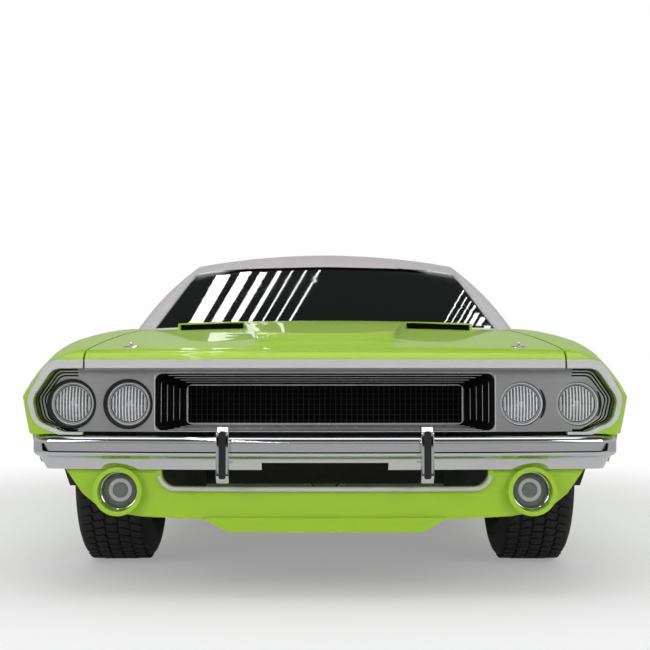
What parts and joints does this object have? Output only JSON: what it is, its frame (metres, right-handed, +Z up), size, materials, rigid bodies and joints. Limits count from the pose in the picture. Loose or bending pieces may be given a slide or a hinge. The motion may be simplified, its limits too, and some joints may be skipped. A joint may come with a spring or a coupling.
{
  "type": "muscle car",
  "caption": "Two-door hardtop coupe with a long bonnet, wide recessed grille, paired round headlamps, chrome bumpers, opening doors and lids, steered front wheels.",
  "frame": {"origin": "on the ground under the centre of the car's bounding box", "axes": "+Z up, the nose points to -Y, the driver's side is +X"},
  "size_m": [1.94, 4.8602, 1.2933],
  "materials": {
    "black_metal": "satin",
    "chrome": "polished",
    "glass": "gloss",
    "green_paint": "gloss",
    "iron": "rough",
    "lamp_glass": "gloss",
    "red": "gloss",
    "roof_cover": "satin",
    "seat": "grained vinyl",
    "silver": "satin",
    "steel": "plain",
    "trim": "grained",
    "tyre": "matt",
    "underbody": "matt"
  },
  "bodies": {
    "car": {"roof": "roof_cover", "windscreen": "glass", "rear_window": "glass", "quarter_glass": "glass", "fender_left": "green_paint", "fender_right": "green_paint", "cowl": "green_paint", "firewall": "green_paint", "quarter_left": "green_paint", "quarter_right": "green_paint", "rear_deck": "green_paint", "tail_panel": "green_paint", "sills": "green_paint", "floor_pan": "underbody", "wheelhouses": "underbody", "front_frame": "underbody", "engine": "iron", "front_suspension": "steel", "rear_axle": "iron", "exhaust": "steel", "fuel_tank": "steel", "lamp_panel": "silver", "grille_shell": "black_metal", "grille_mesh": "black_metal", "headlamp_rims": "chrome", "headlamps": "lamp_glass", "fender_mouldings": "chrome", "front_bumper": "chrome", "rear_bumper": "chrome", "front_valance": "green_paint", "park_lamps": "lamp_glass", "tail_lamps": "red", "dashboard": "trim", "front_seats": "seat", "rear_seat": "seat"},
    "hood": {"hood": "green_paint", "hood_moulding": "chrome"},
    "boot_lid": {"boot_lid": "green_paint"},
    "door_left": {"door_left": "green_paint", "door_glass_left": "glass"},
    "door_right": {"door_right": "green_paint", "door_glass_right": "glass"},
    "steering_wheel": {"steering_wheel": "trim"},
    "knuckle_left": {"knuckle_left": "steel"},
    "knuckle_right": {"knuckle_right": "steel"},
    "wheel_front_left": {"tyre_front_left": "tyre", "rim_front_left": "silver"},
    "wheel_front_right": {"tyre_front_right": "tyre", "rim_front_right": "silver"},
    "wheel_rear_left": {"tyre_rear_left": "tyre", "rim_rear_left": "silver"},
    "wheel_rear_right": {"tyre_rear_right": "tyre", "rim_rear_right": "silver"}
  },
  "joints": [
    {"name": "hood_hinge", "type": "hinge", "parent": "car", "child": "hood", "pos_m": [0, -0.99, 0.868], "axis": [-1, 0, 0], "range_deg": [0, 55]},
    {"name": "boot_lid_hinge", "type": "hinge", "parent": "car", "child": "boot_lid", "pos_m": [0, 1.68, 0.915], "axis": [1, 0, 0], "range_deg": [0, 65]},
    {"name": "door_left_hinge", "type": "hinge", "parent": "car", "child": "door_left", "pos_m": [0.935, -0.63, 0.55], "axis": [0, 0, -1], "range_deg": [0, 65]},
    {"name": "door_right_hinge", "type": "hinge", "parent": "car", "child": "door_right", "pos_m": [-0.935, -0.63, 0.55], "axis": [0, 0, 1], "range_deg": [0, 65]},
    {"name": "kingpin_left", "type": "hinge", "parent": "car", "child": "knuckle_left", "pos_m": [0.7, -1.5, 0.34], "axis": [0, 0, 1], "range_deg": [-30, 30]},
    {"name": "kingpin_right", "type": "hinge", "parent": "car", "child": "knuckle_right", "pos_m": [-0.7, -1.5, 0.34], "axis": [0, 0, 1], "range_deg": [-30, 30]},
    {"name": "steering", "type": "hinge", "parent": "car", "child": "steering_wheel", "pos_m": [0.37, -0.33, 0.78], "axis": [0, 0.9272, 0.3746], "range_deg": [-480, 480]},
    {"name": "wheel_front_left_spin", "type": "hinge", "parent": "knuckle_left", "child": "wheel_front_left", "pos_m": [0.738, -1.5, 0.34], "axis": [1, 0, 0], "continuous": true},
    {"name": "wheel_front_right_spin", "type": "hinge", "parent": "knuckle_right", "child": "wheel_front_right", "pos_m": [-0.738, -1.5, 0.34], "axis": [1, 0, 0], "continuous": true},
    {"name": "wheel_rear_left_spin", "type": "hinge", "parent": "car", "child": "wheel_rear_left", "pos_m": [0.738, 1.294, 0.34], "axis": [1, 0, 0], "continuous": true},
    {"name": "wheel_rear_right_spin", "type": "hinge", "parent": "car", "child": "wheel_rear_right", "pos_m": [-0.738, 1.294, 0.34], "axis": [1, 0, 0], "continuous": true}
  ],
  "couplings": [
    {"joint": "kingpin_right", "follows": "kingpin_left", "ratio": 1},
    {"joint": "steering", "follows": "kingpin_left", "ratio": 16}
  ]
}
